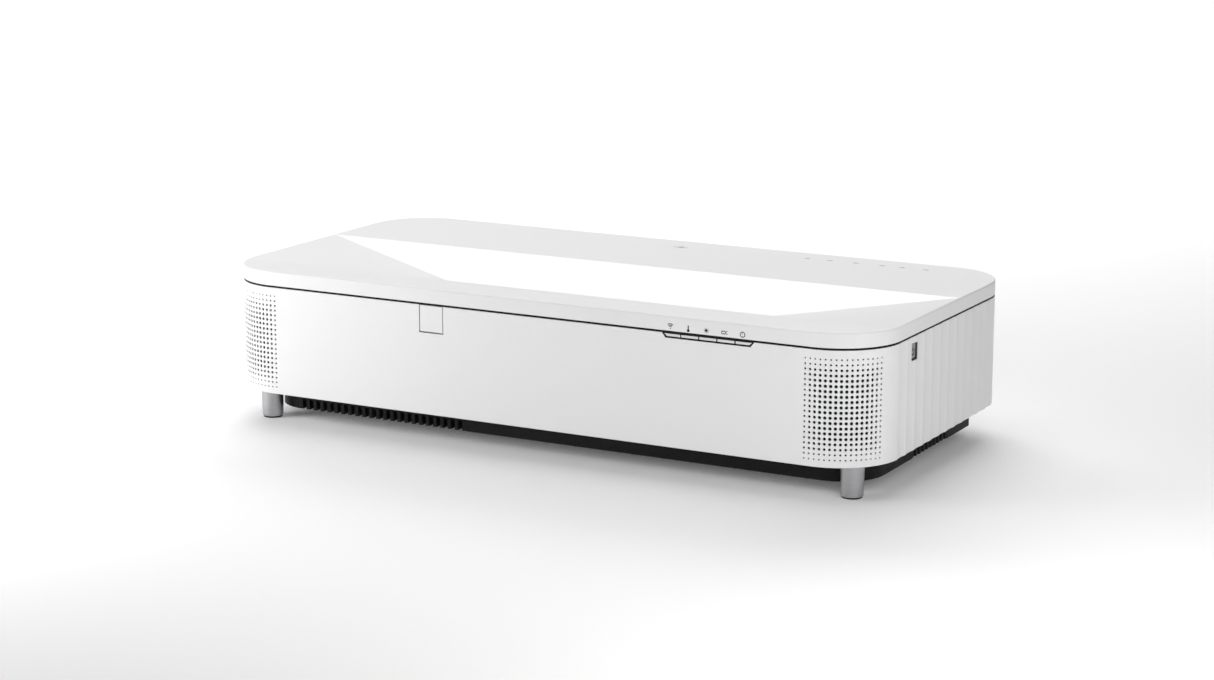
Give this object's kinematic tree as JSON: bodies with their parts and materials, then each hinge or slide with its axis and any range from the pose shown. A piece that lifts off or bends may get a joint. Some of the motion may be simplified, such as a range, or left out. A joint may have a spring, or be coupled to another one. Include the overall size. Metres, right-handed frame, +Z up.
{
  "type": "home projector",
  "caption": "Wide white ultra-short-throw projector with rounded corners, faceted light recess in the top, perforated speaker corners, fluted sides, black base and screw feet.",
  "frame": {"origin": "floor level under the middle of the body", "axes": "+X to the right along the width, -Y the front with the speakers and status lights, +Z up"},
  "size_m": [0.695, 0.34, 0.155],
  "materials": {
    "white_shell": "satin white moulded plastic",
    "black_plastic": "fine matte black",
    "dark_plastic": "matte dark grey",
    "grey_plastic": "light grey translucent",
    "button_plastic": "light grey satin",
    "window_glass": "coated clear glass",
    "lens_glass": "coated optical glass",
    "mirror_glass": "front-silvered",
    "dichroic_glass": "dichroic coating",
    "foot_metal": "fine turned metal",
    "sheet_metal": "zinc-plated sheet",
    "cast_alloy": "die cast",
    "fin_alloy": "folded fins",
    "socket_metal": "nickel-plated",
    "screw_steel": "black zinc",
    "brass_insert": "machined",
    "foot_rubber": "moulded rubber",
    "cone_fabric": "coated paper cone with rubber edge",
    "filter_fabric": "pleated filter paper",
    "circuit_board": "soldermask with parts",
    "power_board": "phenolic board with parts",
    "phosphor": "phosphor-coated disc"
  },
  "bodies": {
    "chassis": {"top_cover": "white_shell", "seam_gasket": "black_plastic", "main_housing": "white_shell", "base_tub": "black_plastic", "chassis_plate": "sheet_metal", "base_screws": "screw_steel", "speaker_grille_left": "white_shell", "speaker_grille_right": "white_shell", "speaker_boxes": "dark_plastic", "speaker_drivers": "sheet_metal", "window_frame": "black_plastic", "exit_window": "window_glass", "door_hinge_pin": "screw_steel", "status_bezel": "black_plastic", "status_lenses": "grey_plastic", "led_board": "circuit_board", "button_guide": "dark_plastic", "io_panel": "dark_plastic", "hdmi_sockets": "socket_metal", "usb_socket": "socket_metal", "audio_socket": "black_plastic", "ac_inlet": "black_plastic", "exhaust_grille": "black_plastic", "foot_inserts": "brass_insert", "rear_feet": "black_plastic", "rear_foot_pads": "foot_rubber", "intake_fan_frame": "black_plastic", "exhaust_blower_case": "black_plastic", "laser_fan_frame": "black_plastic", "laser_block": "cast_alloy", "laser_heatsink": "fin_alloy", "phosphor_motor": "dark_plastic", "optics_frame": "cast_alloy", "dichroic_mirrors": "dichroic_glass", "lcd_panels": "dark_plastic", "prism_cube": "lens_glass", "lens_barrel": "black_plastic", "lens_elements": "lens_glass", "lens_brackets": "cast_alloy", "fold_mirror": "mirror_glass", "concave_mirror": "mirror_glass", "mirror_holder": "black_plastic", "main_board": "circuit_board", "psu_board": "power_board"},
    "foot_left": {"front_foot_left": "foot_metal", "foot_pad_left": "foot_rubber"},
    "foot_right": {"front_foot_right": "foot_metal", "foot_pad_right": "foot_rubber"},
    "door": {"focus_door": "white_shell"},
    "button": {"power_button": "button_plastic"},
    "drawer": {"filter_drawer": "black_plastic", "air_filter": "filter_fabric"},
    "focus_control": {"focus_ring": "dark_plastic"},
    "focus_group": {"focus_lens_group": "lens_glass"},
    "colour_wheel": {"phosphor_wheel": "phosphor"},
    "intake_rotor": {"intake_fan_rotor": "dark_plastic"},
    "exhaust_rotor": {"exhaust_blower_rotor": "dark_plastic"},
    "laser_rotor": {"laser_fan_rotor": "dark_plastic"},
    "cone_left": {"speaker_cone_left": "cone_fabric"},
    "cone_right": {"speaker_cone_right": "cone_fabric"}
  },
  "joints": [
    {"name": "front_foot_left_screw", "type": "slide", "parent": "chassis", "child": "foot_left", "axis": [0, 0, -1], "range_m": [0, 0.01]},
    {"name": "front_foot_right_screw", "type": "slide", "parent": "chassis", "child": "foot_right", "axis": [0, 0, -1], "range_m": [0, 0.01]},
    {"name": "focus_door_hinge", "type": "hinge", "parent": "chassis", "child": "door", "pos_m": [-0.1032, -0.1682, 0.115], "axis": [1, 0, 0], "range_deg": [0, 90]},
    {"name": "power_button_press", "type": "slide", "parent": "chassis", "child": "button", "axis": [-1, 0, 0], "range_m": [0, 0.0011], "stiffness_N_per_m": 400},
    {"name": "filter_drawer_slide", "type": "slide", "parent": "chassis", "child": "drawer", "axis": [0, -1, 0], "range_m": [0, 0.085]},
    {"name": "focus_lever_turn", "type": "hinge", "parent": "chassis", "child": "focus_control", "pos_m": [-0.103, -0.06, 0.088], "axis": [1, 0, 0], "range_deg": [-3.5, 3.5]},
    {"name": "focus_group_slide", "type": "slide", "parent": "chassis", "child": "focus_group", "axis": [1, 0, 0], "range_m": [-0.002, 0.002]},
    {"name": "colour_wheel_spin", "type": "hinge", "parent": "chassis", "child": "colour_wheel", "pos_m": [-0.262, 0.072, 0.07], "axis": [1, 0, 0], "continuous": true},
    {"name": "intake_fan_spin", "type": "hinge", "parent": "chassis", "child": "intake_rotor", "pos_m": [-0.2, -0.058, 0.046], "axis": [0, 0, 1], "continuous": true},
    {"name": "exhaust_blower_spin", "type": "hinge", "parent": "chassis", "child": "exhaust_rotor", "pos_m": [0.262, 0.024, 0.022], "axis": [0, 0, 1], "continuous": true},
    {"name": "laser_fan_spin", "type": "hinge", "parent": "chassis", "child": "laser_rotor", "pos_m": [-0.297, 0, 0.082], "axis": [0, 1, 0], "continuous": true},
    {"name": "speaker_cone_left_travel", "type": "slide", "parent": "chassis", "child": "cone_left", "axis": [-0.7071, -0.7071, 0], "range_m": [-0.001, 0.001], "stiffness_N_per_m": 900},
    {"name": "speaker_cone_right_travel", "type": "slide", "parent": "chassis", "child": "cone_right", "axis": [0.7071, -0.7071, 0], "range_m": [-0.001, 0.001], "stiffness_N_per_m": 900}
  ],
  "couplings": [
    {"joint": "focus_group_slide", "follows": "focus_lever_turn", "m_per_rad": 0.025}
  ]
}
